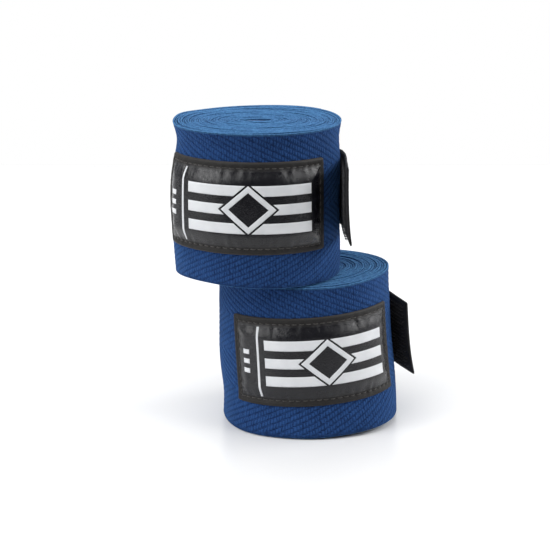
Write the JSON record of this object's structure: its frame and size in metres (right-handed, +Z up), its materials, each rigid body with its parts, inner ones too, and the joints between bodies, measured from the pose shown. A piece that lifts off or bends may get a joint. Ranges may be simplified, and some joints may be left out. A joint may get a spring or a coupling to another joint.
{
  "type": "hand wrap",
  "caption": "Rolled boxing hand wraps stacked on end: long cotton strips wound around their thumb loops, with sewn labels and hook tape tabs that swing open.",
  "frame": {"origin": "on the surface the pair stands on, below the middle of the bounding box", "axes": "+Z up along the upper roll's axis, labels face -Y, tabs leave the rolls on the +X side"},
  "size_m": [0.0796, 0.0658, 0.1024],
  "materials": {
    "cotton": "matt herringbone cotton weave, royal blue",
    "loop_tape": "matt woven cotton tape, royal blue",
    "leatherette": "semi-gloss black leatherette, puffed between its seams",
    "thread": "black sewing thread",
    "print": "white printed film",
    "hook_tape": "matt black woven nylon tape",
    "hooks": "field of small black nylon hooks",
    "pile": "black brushed nylon pile"
  },
  "bodies": {
    "lower_roll": {"lower_strip": "cotton", "lower_thumb_loop": "loop_tape", "lower_thumb_loop_tack": "thread", "lower_label": "leatherette", "lower_label_seam": "thread", "lower_emblem": "print", "lower_size_rule": "print", "lower_size_bar_1": "print", "lower_size_bar_2": "print", "lower_size_bar_3": "print", "lower_pile_patch": "pile", "lower_pile_seam": "thread", "lower_tab_anchor": "hook_tape", "lower_tab_seam": "thread"},
    "upper_roll": {"upper_strip": "cotton", "upper_thumb_loop": "loop_tape", "upper_thumb_loop_tack": "thread", "upper_label": "leatherette", "upper_label_seam": "thread", "upper_emblem": "print", "upper_size_rule": "print", "upper_size_bar_1": "print", "upper_size_bar_2": "print", "upper_size_bar_3": "print", "upper_pile_patch": "pile", "upper_pile_seam": "thread", "upper_tab_anchor": "hook_tape", "upper_tab_seam": "thread"},
    "lower_tab": {"lower_hook_tab": "hook_tape", "lower_hook_field": "hooks"},
    "upper_tab": {"upper_hook_tab": "hook_tape", "upper_hook_field": "hooks"}
  },
  "joints": [
    {"name": "upper_roll_lift", "type": "slide", "parent": "lower_roll", "child": "upper_roll", "axis": [0, 0, 1], "range_m": [0, 0.06]},
    {"name": "lower_tab_open", "type": "hinge", "parent": "lower_roll", "child": "lower_tab", "pos_m": [0.0108, 0.03209, 0.02765], "axis": [-0.0576, 0, 0.9983], "range_deg": [0, 120]},
    {"name": "upper_tab_open", "type": "hinge", "parent": "upper_roll", "child": "upper_tab", "pos_m": [0.00933, 0.01483, 0.0775], "axis": [0, 0, 1], "range_deg": [0, 120]}
  ]
}
